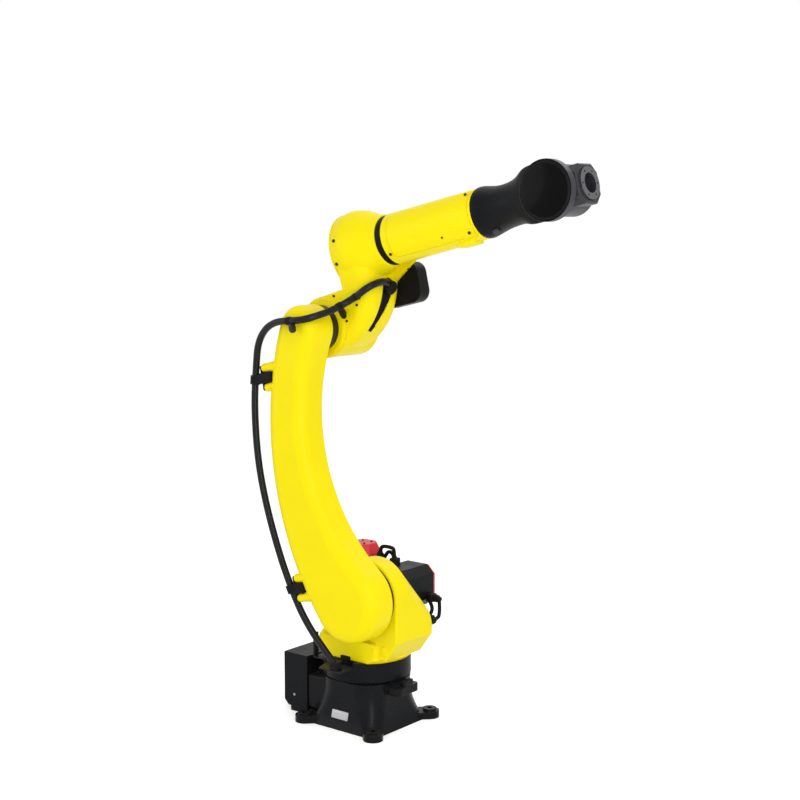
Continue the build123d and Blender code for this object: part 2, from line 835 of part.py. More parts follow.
def conduit_corners():
    """Corner points of the conduit from the anchor on the turret to the fitting on the elbow."""
    anchor = Vector(anchor_x, anchor_y, bracket_top + anchor_seat)
    entry = in_frame(arm_frame, conduit_entry)
    bow = anchor + (entry - anchor) * anchor_bow_share - Vector(anchor_bow, 0, 0)
    climb = []
    for share, standoff in zip(conduit_climb_shares, conduit_standoffs):
        height = share * upper_arm_length
        climb.append((rear_edge(height) - standoff, arm_outer_face + conduit_inset, height))
    crest = [(x, y, upper_arm_length + z) for x, y, z in conduit_crest]
    on_arm = [in_frame(arm_frame, point) for point in climb + crest]
    on_elbow = [in_frame(elbow_frame, point) for point in conduit_crossing]
    return [anchor, bow, entry] + on_arm + on_elbow


def bend_radii(corners):
    """Each bend is as large as the shorter of its two runs leaves room for."""
    radii = []
    for before, corner, after in zip(corners, corners[1:], corners[2:]):
        turn = math.radians((corner - before).get_angle(after - corner))
        run = min((corner - before).length, (after - corner).length)
        radii.append(conduit_bend_share * run / math.tan(turn / 2))
    return radii


def conduit_station(measure):
    """The share of the conduit's length at which a measure of its place first passes zero."""
    low = 0.0
    high = conduit_step_share
    while measure(conduit_path @ high) < 0:
        low = high
        high = high + conduit_step_share
    for _ in range(conduit_search_steps):
        middle = (low + high) / 2
        if measure(conduit_path @ middle) < 0:
            low = middle
        else:
            high = middle
    return high


def height_station(height):
    return conduit_station(lambda point: seen_from(arm_frame, point).Z - height)


def top_clip_station():
    middle = top_clip_rear + top_clip_width / 2
    return conduit_station(lambda point: seen_from(arm_frame, point).X - middle)


def elbow_clip_station():
    return conduit_station(lambda point: seen_from(elbow_frame, point).X - elbow_clip_place)


def conduit_stretch(start, end):
    """The conduit between two stations, short of both by half a seat gap."""
    ease = seat_gap / 2 / conduit_path.length
    return tube(conduit_path.trim(start + ease, end - ease), conduit_radius)


def conduit_lower():
    return conduit_stretch(0.0, height_station(low_boss_height))


def conduit_arm():
    return conduit_stretch(height_station(low_boss_height), top_clip_station())


def conduit_upper():
    return conduit_stretch(top_clip_station(), elbow_clip_station())


def conduit_elbow():
    return conduit_stretch(elbow_clip_station(), 1.0)


def arm_clamp(middle):
    """Plate across a pair of bosses, with a web out to the ring that grips the conduit."""
    seat = clamp_plane(middle)
    share = height_station(middle)
    grip = Plane(conduit_path @ share, z_dir=conduit_path % share)
    place = seen_from(arm_frame, conduit_path @ share)
    plate_sketch = RectangleRounded(2 * boss_radius, clamp_span(), boss_radius / 2)
    plate_rear = seat - clamp_plate_thickness
    plate = along_x(Pos(arm_outer_face + boss_inset, middle) * plate_sketch, plate_rear, seat)
    web_sketch = Pos(place.Y, middle) * Rectangle(clamp_web_width, clamp_length)
    web = along_x(web_sketch, place.X, plate_rear)
    ring = extrude(grip * Circle(conduit_radius + clamp_wall), clamp_length / 2, both=True)
    return arm_frame * (plate + web) + ring - conduit_room


def arm_clamp_lower():
    return arm_clamp(low_boss_height)


def arm_clamp_upper():
    return arm_clamp(high_boss_height)


def arm_clamp_top():
    """Clip that holds the conduit on the outer face of the arm at the elbow end."""
    middle = upper_arm_length + top_clip_low + top_clip_height / 2
    sketch = RectangleRounded(top_clip_reach, top_clip_height, top_clip_round)
    place = Pos(arm_outer_face - top_clip_reach / 2, middle)
    block = along_x(place * sketch, top_clip_rear, top_clip_rear + top_clip_width)
    return arm_frame * block - conduit_room


def elbow_clip():
    """Saddle on the right of the elbow casting."""
    height = seen_from(elbow_frame, conduit_path @ elbow_clip_station()).Z
    sketch = RectangleRounded(elbow_clip_width, elbow_clip_height, clamp_wall)
    block = along_y(Pos(elbow_clip_place, height) * sketch, elbow_clip_right, web_right)
    return elbow_frame * block - conduit_room - elbow_casting()


def conduit_fitting():
    """Round head in the wide end of the cable slot that the conduit runs into."""
    face = slot_plane()
    sketch = Pos(slot_head_left, slot_head_rise) * Circle(slot_head_radius - fitting_inset)
    head = extrude(face.offset(-slot_head_radius) * sketch, slot_head_radius + fitting_rise)
    crown = head.faces().sort_by(Axis(face.origin, face.z_dir))[-1]
    head = fillet(crown.edges(), fitting_round)
    head -= wall_core(slot_depth - slot_seal_thickness)
    return elbow_frame * head - conduit_room


def slot_seal():
    """Strip on the floor of the cable slot."""
    strip = slot_prism(seat_gap) & (wall_core(slot_depth - slot_seal_thickness) - wall_core(slot_depth))
    return elbow_frame * strip


def bracket_sketch(inner_radius):
    """The bracket's sheet seen from above."""
    sheet = Polygon(
        (bracket_rear, bracket_left),
        (bracket_rear, bracket_side),
        (bracket_heel, bracket_side),
        (bracket_toe, bracket_right),
        (bracket_front, bracket_right),
        (bracket_front, 0),
        (0, 0),
        align=None,
    )
    return sheet - Circle(inner_radius)


def conduit_bracket():
    """Sheet bracket let into the right rear of the swivel ring, with an upright leg."""
    plate = along_z(bracket_sketch(bracket_inner_radius), bracket_height, bracket_top)
    leg_place = Pos(bracket_rear + bracket_leg_depth / 2, bracket_side + bracket_leg_width / 2)
    leg_sketch = leg_place * Rectangle(bracket_leg_depth, bracket_leg_width)
    return plate + along_z(leg_sketch, bracket_height, bracket_top + bracket_leg_height)


def conduit_anchor():
    block = Pos(anchor_x, anchor_y) * RectangleRounded(anchor_width, anchor_depth, clamp_wall)
    return along_z(block, bracket_top, bracket_top + anchor_height) - conduit_room


conduit_path = FilletPolyline(*conduit_corners(), radius=bend_radii(conduit_corners()))
conduit_room = tube(conduit_path, conduit_radius + conduit_clearance)

pieces = [
    base_casting,
    connector_box,
    connector_panel,
    swivel_bearing,
    swivel_ring,
    turret_casting,
    shoulder_reducer,
    shoulder_motor,
    shoulder_motor_cap,
    swivel_motor,
    swivel_motor_cap,
    shoulder_motor_plug,
    swivel_motor_plug,
    conduit_bracket,
    conduit_anchor,
    conduit_lower,
    upper_arm_casting,
    arm_clamp_lower,
    arm_clamp_upper,
    arm_clamp_top,
    conduit_arm,
    conduit_upper,
    elbow_clip,
    conduit_elbow,
    conduit_fitting,
    slot_seal,
    elbow_reducer,
    elbow_casting,
    elbow_rear_cover,
    roll_band,
    motor_cover,
    forearm_tube,
    side_cover_right,
    side_cover_left,
    wrist_housing,
    wrist_pod_cap,
    wrist_bearing,
    wrist_body,
    tool_flange,
]

if __name__ == "__main__":
    os.makedirs("parts", exist_ok=True)
    print("conduit bends", [round(radius) for radius in bend_radii(conduit_corners())])
    for make in pieces:
        export_step(make(), f"parts/{make.__name__}.step")
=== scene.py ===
import json
import math

import bmesh
import bpy
from mathutils import Matrix, Vector
from mathutils.bvhtree import BVHTree


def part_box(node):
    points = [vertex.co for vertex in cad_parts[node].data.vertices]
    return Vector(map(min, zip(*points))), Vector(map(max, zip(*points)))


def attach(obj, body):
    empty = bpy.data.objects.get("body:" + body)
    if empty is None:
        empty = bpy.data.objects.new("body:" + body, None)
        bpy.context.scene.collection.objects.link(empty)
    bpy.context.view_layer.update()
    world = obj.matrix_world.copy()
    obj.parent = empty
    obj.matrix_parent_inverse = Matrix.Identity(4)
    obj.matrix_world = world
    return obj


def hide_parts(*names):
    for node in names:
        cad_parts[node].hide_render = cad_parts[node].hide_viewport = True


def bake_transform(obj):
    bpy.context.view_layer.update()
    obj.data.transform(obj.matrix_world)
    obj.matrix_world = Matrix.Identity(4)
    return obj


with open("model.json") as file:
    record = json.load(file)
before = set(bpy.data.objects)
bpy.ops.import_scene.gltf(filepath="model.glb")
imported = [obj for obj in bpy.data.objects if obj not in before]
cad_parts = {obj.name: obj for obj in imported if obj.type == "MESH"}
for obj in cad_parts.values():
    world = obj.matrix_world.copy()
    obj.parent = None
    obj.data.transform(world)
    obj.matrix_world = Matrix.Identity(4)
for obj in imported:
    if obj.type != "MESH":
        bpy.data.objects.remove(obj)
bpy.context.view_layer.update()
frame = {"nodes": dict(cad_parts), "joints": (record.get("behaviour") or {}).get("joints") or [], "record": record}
nodes = frame["nodes"]
scene = bpy.context.scene
print("frame loaded:", len(nodes), "nodes")


# camera at the photograph's angle

view = {"target": (0.1326, 0.0, 1.0313), "azimuth": 38.92, "elevation": 7.17, "distance": 4.565, "lens": 67.545,
        "sensor": 36.0, "pixels": 800.0}
azimuth, elevation = math.radians(view["azimuth"]), math.radians(view["elevation"])
backward = Vector((math.sin(azimuth) * math.cos(elevation), -math.cos(azimuth) * math.cos(elevation),
                   math.sin(elevation)))
cameraTurn = backward.to_track_quat("Z", "Y")
cameraData = bpy.data.cameras.new("camera")
cameraData.lens = view["lens"]
cameraData.sensor_width = view["sensor"]
camera = bpy.data.objects.new("camera", cameraData)
camera.location = Vector(view["target"]) + backward * view["distance"]
camera.rotation_euler = cameraTurn.to_euler()
scene.collection.objects.link(camera)
scene.camera = camera
print("camera ready")


# directions, turns round a circle and headings along a line

forward, side, skyward = Vector((1, 0, 0)), Vector((0, 1, 0)), Vector((0, 0, 1))


def turns(count, offset=0.0):
    return [2 * math.pi * (k + offset) / count for k in range(count)]


def headingsOf(points):
    last = len(points) - 1
    return [(points[min(i + 1, last)] - points[max(i - 1, 0)]).normalized() for i in range(last + 1)]


# node helpers shared by materials and Geometry Nodes

def addNode(tree, kind, **settings):
    node = tree.nodes.new(kind)
    for key, value in settings.items():
        setattr(node, key, value)
    return node


def link(tree, fromNode, fromSocket, toNode, toSocket):
    tree.links.new(fromNode.outputs[fromSocket], toNode.inputs[toSocket])


def noiseOf(tree, vectorNode, vectorSocket, scale, detail, roughness=0.55):
    noise = addNode(tree, "ShaderNodeTexNoise")
    noise.inputs["Scale"].default_value = scale
    noise.inputs["Detail"].default_value = detail
    noise.inputs["Roughness"].default_value = roughness
    link(tree, vectorNode, vectorSocket, noise, "Vector")
    return noise


def spread(tree, fromNode, fromSocket, low, high, fromLow=0.3, fromHigh=0.7):
    reach = addNode(tree, "ShaderNodeMapRange")
    for key, value in (("From Min", fromLow), ("From Max", fromHigh), ("To Min", low), ("To Max", high)):
        reach.inputs[key].default_value = value
    link(tree, fromNode, fromSocket, reach, "Value")
    return reach


def times(tree, firstNode, firstSocket, secondNode, secondSocket):
    product = addNode(tree, "ShaderNodeMath", operation="MULTIPLY")
    link(tree, firstNode, firstSocket, product, 0)
    link(tree, secondNode, secondSocket, product, 1)
    return product


mixFactor, mixUnder, mixOver, mixResult = 0, 6, 7, 2  # colour sockets of a Mix node


def twoTone(tree, factorNode, look):
    mix = addNode(tree, "ShaderNodeMix", data_type="RGBA")
    mix.inputs[mixUnder].default_value = (*look["colour"], 1.0)
    mix.inputs[mixOver].default_value = (*look["shade"], 1.0)
    link(tree, factorNode, "Result", mix, mixFactor)
    return mix


def tint(tree, factorNode, factorSocket, underNode, colour):
    mix = addNode(tree, "ShaderNodeMix", data_type="RGBA")
    link(tree, factorNode, factorSocket, mix, mixFactor)
    link(tree, underNode, mixResult, mix, mixUnder)
    mix.inputs[mixOver].default_value = (*colour, 1.0)
    return mix


def bump(tree, heightNode, strength, depth):
    relief = addNode(tree, "ShaderNodeBump")
    relief.inputs["Strength"].default_value = strength
    relief.inputs["Distance"].default_value = depth
    link(tree, heightNode, "Fac", relief, "Height")
    return relief


def newMaterial(name):
    material = bpy.data.materials.new(name)
    material.use_nodes = True
    return material, material.node_tree, material.node_tree.nodes["Principled BSDF"]


# finishes

def finish(name, look):
    material, tree, shader = newMaterial(name)
    coords = addNode(tree, "ShaderNodeTexCoord")
    brush = addNode(tree, "ShaderNodeMapping")  # stretches the grain of a brushed or drawn metal
    brush.inputs["Scale"].default_value = look["stretch"]
    link(tree, coords, "Object", brush, "Vector")
    shader.inputs["Metallic"].default_value = look["metallic"]
    shader.inputs["Specular IOR Level"].default_value = look["specular"]

    # softened edges, and how near one is
    edge = addNode(tree, "ShaderNodeBevel", samples=4)
    edge.inputs["Radius"].default_value = look["edge"]
    plain = addNode(tree, "ShaderNodeNewGeometry")
    facing = addNode(tree, "ShaderNodeVectorMath", operation="DOT_PRODUCT")
    link(tree, edge, "Normal", facing, 0)
    link(tree, plain, "Normal", facing, 1)
    nearEdge = spread(tree, facing, "Value", 1.0, 0.0, *look["edgeBand"])

    # colour: broad mottling, fine speckle, rubbed edges, dust on what faces up
    broad = noiseOf(tree, coords, "Object", look["mottleScale"], detail=4.0)
    paint = twoTone(tree, spread(tree, broad, "Fac", 0.0, 1.0), look)
    flecks = noiseOf(tree, brush, "Vector", look["fleckScale"], detail=2.0)
    flecked = spread(tree, flecks, "Fac", 0.0, look["fleck"], *look["fleckBand"])
    paint = tint(tree, flecked, "Result", paint, look["fleckColour"])
    patches = noiseOf(tree, coords, "Object", look["patchScale"], detail=5.0, roughness=0.65)
    worn = spread(tree, patches, "Fac", 0.0, look["rub"], *look["rubBand"])
    paint = tint(tree, times(tree, nearEdge, "Result", worn, "Result"), 0, paint, look["rubColour"])
    upward = addNode(tree, "ShaderNodeSeparateXYZ")
    link(tree, plain, "Normal", upward, 0)
    dust = times(tree, spread(tree, upward, "Z", 0.0, look["dust"], *look["dustBand"]), "Result",
                 spread(tree, broad, "Fac", look["dustLeast"], 1.0), "Result")
    paint = tint(tree, dust, 0, paint, look["dustColour"])
    link(tree, paint, mixResult, shader, "Base Color")

    # roughness: smears left by handling
    smear = noiseOf(tree, brush, "Vector", look["smearScale"], detail=5.0, roughness=0.6)
    link(tree, spread(tree, smear, "Fac", *look["roughness"]), "Result", shader, "Roughness")

    # relief: slow waves of the casting under the fine grain of the finish
    waves = noiseOf(tree, coords, "Object", look["waveScale"], detail=2.0)
    swell = bump(tree, waves, look["wave"], look["waveDepth"])
    link(tree, edge, "Normal", swell, "Normal")
    grain = noiseOf(tree, brush, "Vector", look["grainScale"], detail=2.0)
    relief = bump(tree, grain, look["grain"], look["grainDepth"])
    link(tree, swell, "Normal", relief, "Normal")
    link(tree, relief, "Normal", shader, "Normal")
    return material


usualLook = {  # what a finish has where its own look says nothing
    "metallic": 0.0, "specular": 0.5, "stretch": (1.0, 1.0, 1.0), "edge": 0.0015, "edgeBand": (0.90, 0.995),
    "mottleScale": 5.0, "fleck": 0.2, "fleckScale": 240.0, "fleckBand": (0.5, 0.75),
    "rub": 0.2, "rubBand": (0.45, 0.75), "patchScale": 38.0,
    "dust": 0.06, "dustBand": (0.55, 1.0), "dustLeast": 0.3, "dustColour": (0.30, 0.29, 0.27),
    "smearScale": 18.0, "wave": 0.05, "waveScale": 26.0, "waveDepth": 0.002, "grainDepth": 0.0006,
}
looks = {
    "yellowEnamel": {
        "colour": (0.95, 0.80, 0.002), "shade": (0.93, 0.765, 0.002), "roughness": (0.32, 0.44), "specular": 0.10,
        "fleckColour": (0.98, 0.86, 0.03), "fleck": 0.10, "rubColour": (0.96, 0.87, 0.10), "rub": 0.30,
        "grain": 0.10, "grainScale": 420.0, "wave": 0.06, "edge": 0.004, "dust": 0.02},
    "blackPaint": {
        "colour": (0.0050, 0.0055, 0.0065), "shade": (0.0075, 0.008, 0.0095), "roughness": (0.34, 0.48),
        "specular": 0.07, "fleckColour": (0.03, 0.03, 0.033), "fleck": 0.15, "rubColour": (0.07, 0.07, 0.075),
        "rub": 0.30, "grain": 0.12, "grainScale": 500.0, "edge": 0.002},
    "blackCasting": {
        "colour": (0.0050, 0.0055, 0.0065), "shade": (0.0075, 0.008, 0.0095), "roughness": (0.22, 0.34),
        "specular": 0.08, "fleckColour": (0.03, 0.03, 0.033), "rubColour": (0.08, 0.08, 0.085), "rub": 0.30,
        "grain": 0.30, "grainScale": 260.0, "grainDepth": 0.001, "wave": 0.12, "edge": 0.005},
    "greyCasting": {
        "colour": (0.026, 0.026, 0.031), "shade": (0.040, 0.039, 0.046), "roughness": (0.34, 0.48), "specular": 0.2,
        "fleckColour": (0.08, 0.08, 0.09), "rubColour": (0.14, 0.14, 0.15), "rub": 0.4,
        "grain": 0.15, "grainScale": 460.0, "edge": 0.003},
    "oiledSteel": {
        "colour": (0.060, 0.060, 0.063), "shade": (0.035, 0.035, 0.037), "roughness": (0.30, 0.45), "metallic": 0.9,
        "fleckColour": (0.12, 0.11, 0.10), "rubColour": (0.20, 0.20, 0.20), "grain": 0.1, "grainScale": 700.0,
        "stretch": (1.0, 9.0, 1.0)},
    "flangeSteel": {
        "colour": (0.10, 0.10, 0.11), "shade": (0.14, 0.14, 0.15), "roughness": (0.26, 0.40), "metallic": 0.8,
        "fleckColour": (0.24, 0.24, 0.25), "rubColour": (0.36, 0.36, 0.37), "rub": 0.6, "grain": 0.1,
        "grainScale": 800.0, "stretch": (7.0, 1.0, 1.0)},
    "platedSheet": {
        "colour": (0.012, 0.0125, 0.014), "shade": (0.020, 0.020, 0.022), "roughness": (0.38, 0.52),
        "specular": 0.10, "fleckColour": (0.05, 0.05, 0.05), "rubColour": (0.20, 0.20, 0.20), "rub": 0.5,
        "grain": 0.1, "grainScale": 600.0, "edge": 0.001},
    "barePlate": {
        "colour": (0.50, 0.50, 0.52), "shade": (0.42, 0.42, 0.44), "roughness": (0.36, 0.52), "metallic": 0.5,
        "fleckColour": (0.62, 0.62, 0.64), "rubColour": (0.70, 0.70, 0.70), "grain": 0.12, "grainScale": 900.0,
        "stretch": (1.0, 1.0, 14.0), "edge": 0.0005},
    "redCap": {
        "colour": (0.66, 0.014, 0.024), "shade": (0.60, 0.011, 0.018), "roughness": (0.30, 0.40), "specular": 0.3,
        "fleckColour": (0.72, 0.05, 0.06), "rubColour": (0.80, 0.12, 0.12), "rub": 0.3, "grain": 0.1,
        "grainScale": 600.0, "edge": 0.003},
    "blackMoulding": {
        "colour": (0.0055, 0.0055, 0.006), "shade": (0.008, 0.008, 0.009), "roughness": (0.38, 0.52),
        "specular": 0.08, "fleckColour": (0.03, 0.03, 0.03), "rubColour": (0.06, 0.06, 0.06), "grain": 0.2,
        "grainScale": 520.0, "edge": 0.002},
    "glossyMoulding": {
        "colour": (0.0025, 0.0025, 0.003), "shade": (0.004, 0.004, 0.0045), "roughness": (0.12, 0.20),
        "specular": 0.045, "fleckColour": (0.012, 0.012, 0.012), "fleck": 0.1, "rubColour": (0.03, 0.03, 0.03),
        "grain": 0.03, "grainScale": 400.0, "wave": 0.0},
    "blackOxide": {
        "colour": (0.016, 0.015, 0.014), "shade": (0.024, 0.022, 0.020), "roughness": (0.34, 0.48), "metallic": 0.4,
        "fleckColour": (0.05, 0.045, 0.04), "rubColour": (0.12, 0.11, 0.10), "rub": 0.4, "grain": 0.1,
        "grainScale": 900.0, "edge": 0.0004},
    "zincPlate": {
        "colour": (0.46, 0.46, 0.47), "shade": (0.38, 0.38, 0.40), "roughness": (0.28, 0.42), "metallic": 0.85,
        "fleckColour": (0.55, 0.54, 0.50), "rubColour": (0.62, 0.62, 0.62), "grain": 0.1, "grainScale": 900.0,
        "edge": 0.0004},
}
finishes = {name: finish(name, {**usualLook, **look}) for name, look in looks.items()}
slotFinish = {
    "yellow_paint": "yellowEnamel", "black_paint": "blackPaint", "black_cast": "blackCasting",
    "dark_steel": "oiledSteel", "bare_steel": "flangeSteel", "bracket_steel": "platedSheet",
    "red_plastic": "redCap", "black_plastic": "blackMoulding", "gloss_black": "glossyMoulding",
    "conduit_rubber": "blackMoulding",
}
nodeFinish = {"wrist_body": "greyCasting"}
for part in frame["record"]["subparts"]:
    mesh = nodes[part["node"]].data
    mesh.materials.clear()
    mesh.materials.append(finishes[nodeFinish.get(part["node"], slotFinish[part["material_slot"]])])
print("finishes on CAD nodes:", len(finishes))


# sleeve of the conduit: a fine spiral wrap that follows the piece's own map

def sleeveFinish(look):
    material, tree, shader = newMaterial("sleeveRubber")
    shader.inputs["Specular IOR Level"].default_value = look["specular"]
    around = addNode(tree, "ShaderNodeUVMap", uv_map="alongSleeve")
    coords = addNode(tree, "ShaderNodeTexCoord")
    wrap = addNode(tree, "ShaderNodeTexWave", wave_type="BANDS", bands_direction="DIAGONAL")
    wrap.inputs["Scale"].default_value = look["wrapScale"]
    wrap.inputs["Distortion"].default_value = look["wrapWander"]
    link(tree, around, "UV", wrap, "Vector")
    worn = noiseOf(tree, coords, "Object", look["wornScale"], detail=5.0, roughness=0.65)
    paint = twoTone(tree, spread(tree, worn, "Fac", 0.0, 1.0), look)
    crest = spread(tree, wrap, "Fac", 0.0, look["crestShare"], *look["crestBand"])
    paint = tint(tree, crest, "Result", paint, look["crest"])
    link(tree, paint, mixResult, shader, "Base Color")
    link(tree, spread(tree, worn, "Fac", *look["roughness"]), "Result", shader, "Roughness")
    relief = bump(tree, wrap, look["relief"], look["reliefDepth"])
    link(tree, relief, "Normal", shader, "Normal")
    return material


# the conduit: one smooth route, cut where its clamps hold it

conduit = {
    "radius": 0.011, "sides": 20, "steps": 14,
    "look": {"colour": (0.007, 0.007, 0.009), "shade": (0.011, 0.011, 0.013), "crest": (0.016, 0.016, 0.019),
             "roughness": (0.22, 0.32), "specular": 0.17, "wrapScale": 90.0, "wrapWander": 0.2, "relief": 0.12,
             "reliefDepth": 0.0006, "wornScale": 22.0, "crestShare": 0.35, "crestBand": (0.6, 1.0)},
    "route": [
        (0.016, -0.170, 0.218), (-0.0372, -0.1845, 0.2805), (-0.0867, -0.203, 0.3602), (-0.1304, -0.207, 0.4402),
        (-0.1804, -0.207, 0.5418), (-0.2367, -0.207, 0.6936), (-0.2715, -0.207, 0.839), (-0.2824, -0.207, 1.001),
        (-0.2737, -0.207, 1.1105), (-0.2542, -0.216, 1.2101), (-0.1794, -0.232, 1.2698), (-0.0685, -0.233, 1.2767),
        (-0.0302, -0.204, 1.2887), (-0.0094, -0.153, 1.3049), (0.0084, -0.109, 1.3255), (0.0402, -0.094, 1.3474),
        (0.0687, -0.093, 1.3664), (0.0859, -0.078, 1.3807), (0.092, -0.048, 1.3893), (0.0896, -0.016, 1.3908),
        (0.0834, 0.008, 1.3781)],
    "stretches": [
        {"node": "conduit_lower", "upTo": "arm_clamp_lower", "bends": ("turret", "upper_arm"), "grip": 0.018},
        {"node": "conduit_arm", "upTo": "arm_clamp_top", "rides": "upper_arm"},
        {"node": "conduit_upper", "upTo": "elbow_clip", "bends": ("upper_arm", "elbow"), "grip": 0.018,
         "settled": (-0.0025, -0.122, 1.3107)},  # its place at the clip on the elbow boss
        {"node": "conduit_elbow", "upTo": None, "rides": "elbow"},
    ],
}


def readRoute(points, steps):
    curve = bpy.data.curves.new("route", "CURVE")
    curve.dimensions = "3D"
    spline = curve.splines.new("NURBS")
    spline.points.add(len(points) - 1)
    for control, place in zip(spline.points, points):
        control.co = (*place, 1.0)
    spline.order_u = 3
    spline.use_endpoint_u = True
    spline.resolution_u = steps
    holder = bpy.data.objects.new("route", curve)
    scene.collection.objects.link(holder)
    mesh = bpy.data.meshes.new_from_object(holder.evaluated_get(bpy.context.evaluated_depsgraph_get()))
    line = [vertex.co.copy() for vertex in mesh.vertices]
    bpy.data.objects.remove(holder)
    bpy.data.curves.remove(curve)
    bpy.data.meshes.remove(mesh)
    return line


def middleOf(node):
    low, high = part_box(node)
    return (low + high) / 2


line = readRoute(conduit["route"], conduit["steps"])
sleeveRubber = sleeveFinish(conduit["look"])
headings = headingsOf(line)
across = [headings[0].orthogonal().normalized()]
for heading in headings[1:]:  # carried along the route without twist
    across.append((across[-1] - heading * across[-1].dot(heading)).normalized())
runs = [0.0]
for first, second in zip(line, line[1:]):
    runs.append(runs[-1] + (second - first).length)


def nearestOnLine(place):
    return min(range(len(line)), key=lambda i: (line[i] - place).length)


firstPoint = 0
girth = 2 * math.pi * conduit["radius"] / conduit["sides"]  # of one side, for the sleeve's map
for stretch in conduit["stretches"]:
    lastPoint = nearestOnLine(middleOf(stretch["upTo"])) if stretch["upTo"] else len(line) - 1
    tube = bmesh.new()
    rings = []
    for i in range(firstPoint, lastPoint + 1):
        other = headings[i].cross(across[i])
        rings.append([tube.verts.new(line[i] + conduit["radius"] * (
            across[i] * math.cos(turn) + other * math.sin(turn))) for turn in turns(conduit["sides"])])
    mapLayer = tube.loops.layers.uv.new("alongSleeve")
    for step, (ring, following) in enumerate(zip(rings, rings[1:])):
        low, high = runs[firstPoint + step], runs[firstPoint + step + 1]
        for k in range(conduit["sides"]):
            after = (k + 1) % conduit["sides"]
            face = tube.faces.new((ring[k], ring[after], following[after], following[k]))
            face.smooth = True
            for loop, place in zip(face.loops, ((k * girth, low), ((k + 1) * girth, low),
                                                ((k + 1) * girth, high), (k * girth, high))):
                loop[mapLayer].uv = place
    tube.faces.new(list(reversed(rings[0])))
    tube.faces.new(rings[-1])
    mesh = bpy.data.meshes.new(stretch["node"] + "_sleeve")
    tube.to_mesh(mesh)
    tube.free()
    mesh.materials.append(sleeveRubber)
    piece = bpy.data.objects.new(stretch["node"] + "_sleeve", mesh)
    scene.collection.objects.link(piece)
    if "rides" in stretch:
        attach(piece, stretch["rides"])
    else:
        span = (line[lastPoint] - line[firstPoint]).normalized() * stretch["grip"]
        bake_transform(piece)
    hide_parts(stretch["node"])
    firstPoint = lastPoint
print("conduit length", round(runs[-1], 3), "m in", len(conduit["stretches"]), "stretches")


# places on the arm and the elbow, and seats found by rays on the CAD surfaces

joints = {joint["name"]: joint for joint in frame["joints"]}
shoulderPlace, elbowPlace = Vector(joints["shoulder"]["pos_m"]), Vector(joints["elbow"]["pos_m"])
armUp = (elbowPlace - shoulderPlace).normalized()
armAhead = side.cross(armUp)
elbowAhead = Vector(joints["forearm_roll"]["axis"])
elbowUp = elbowAhead.cross(side)
bodyNodes = frame["record"]["behaviour"]["bodies"]
surfaces = {}
mirrorReach = 0.05  # how far off the surface a mirrored ray starts


def onArm(ahead, left, up):
    return shoulderPlace + armAhead * ahead + side * left + armUp * up


def onElbow(ahead, left, up):
    return elbowPlace + elbowAhead * ahead + side * left + elbowUp * up


def throughPixel(x, y):
    half = view["sensor"] / 2 / view["lens"]
    middle = view["pixels"] / 2
    aim = Vector(((x - middle) / middle * half, (middle - y) / middle * half, -1.0))
    return camera.location.copy(), (cameraTurn @ aim).normalized()


def surfaceOf(name):
    if name not in surfaces:
        mesh = nodes[name].data
        surfaces[name] = BVHTree.FromPolygons([vertex.co for vertex in mesh.vertices],
                                              [face.vertices[:] for face in mesh.polygons])
    return surfaces[name]


def seatOn(body, start, aim):
    best = None
    for name in bodyNodes[body]:
        if name.startswith("conduit_"):
            continue
        place, normal, _, distance = surfaceOf(name).ray_cast(start, aim)
        if place is not None and (best is None or distance < best[2]):
            best = (place, normal, distance)
    if best is None:
        raise ValueError(f"no surface of {body} at {tuple(start)}")
    return best[0], best[1]


def mirrored(body, seat):
    place, normal = (Vector((v.x, -v.y, v.z)) for v in seat)
    return seatOn(body, place + normal * mirrorReach, -normal)


# screws and bolts: Geometry Nodes set one head on each seat

